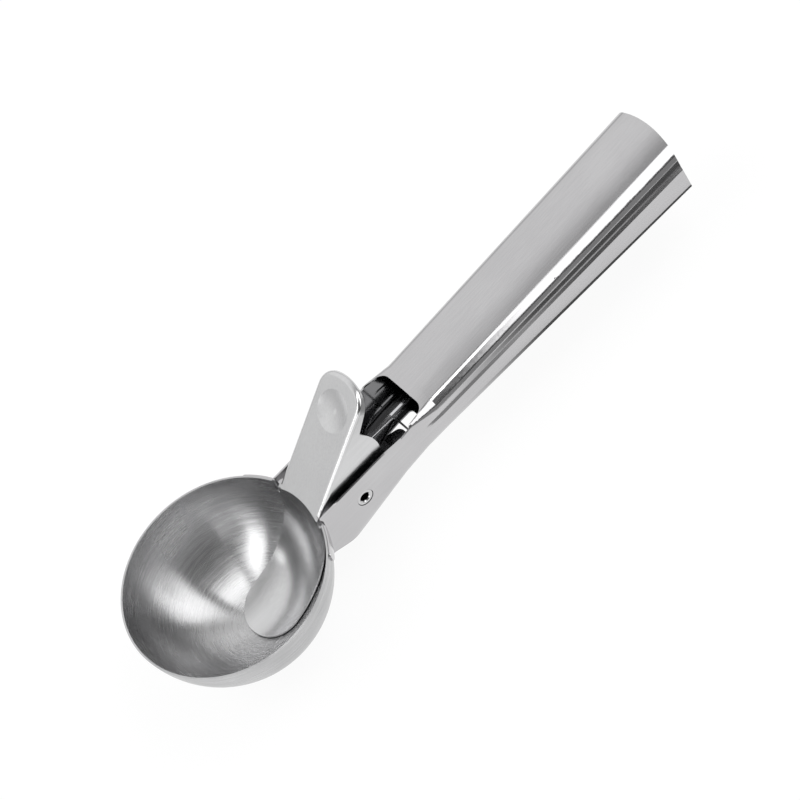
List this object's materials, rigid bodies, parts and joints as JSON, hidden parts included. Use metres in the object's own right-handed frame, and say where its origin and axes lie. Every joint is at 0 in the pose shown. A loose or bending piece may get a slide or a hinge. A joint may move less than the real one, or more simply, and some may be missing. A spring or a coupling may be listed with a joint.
{
  "type": "lever ice cream scoop",
  "caption": "All-steel ice cream scoop with a round bowl, a hollow tapered grip and a sprung thumb lever whose blade lies in the bowl and lifts the ball out.",
  "frame": {"origin": "centre of the bowl's rim, in the plane of the rim", "axes": "+X along the scoop towards the end of the handle, +Z out of the bowl's mouth, -Y towards the side nearer the camera"},
  "size_m": [0.1855, 0.057, 0.0493],
  "materials": {
    "satin_steel": "satin",
    "bright_steel": "polished",
    "spring_wire": "drawn wire"
  },
  "bodies": {
    "handle_body": {"bowl": "satin_steel", "handle": "satin_steel", "pivot_pin": "bright_steel", "return_spring": "spring_wire"},
    "lever_body": {"ejector_lever": "satin_steel"}
  },
  "joints": [
    {"name": "lever_hinge", "type": "hinge", "parent": "handle_body", "child": "lever_body", "pos_m": [0.0393, 0, -0.0059], "axis": [0, 1, 0], "range_deg": [0, 40], "stiffness_Nm_per_rad": 0.25, "springref_deg": -20.05, "deforming": ["return_spring"]}
  ]
}
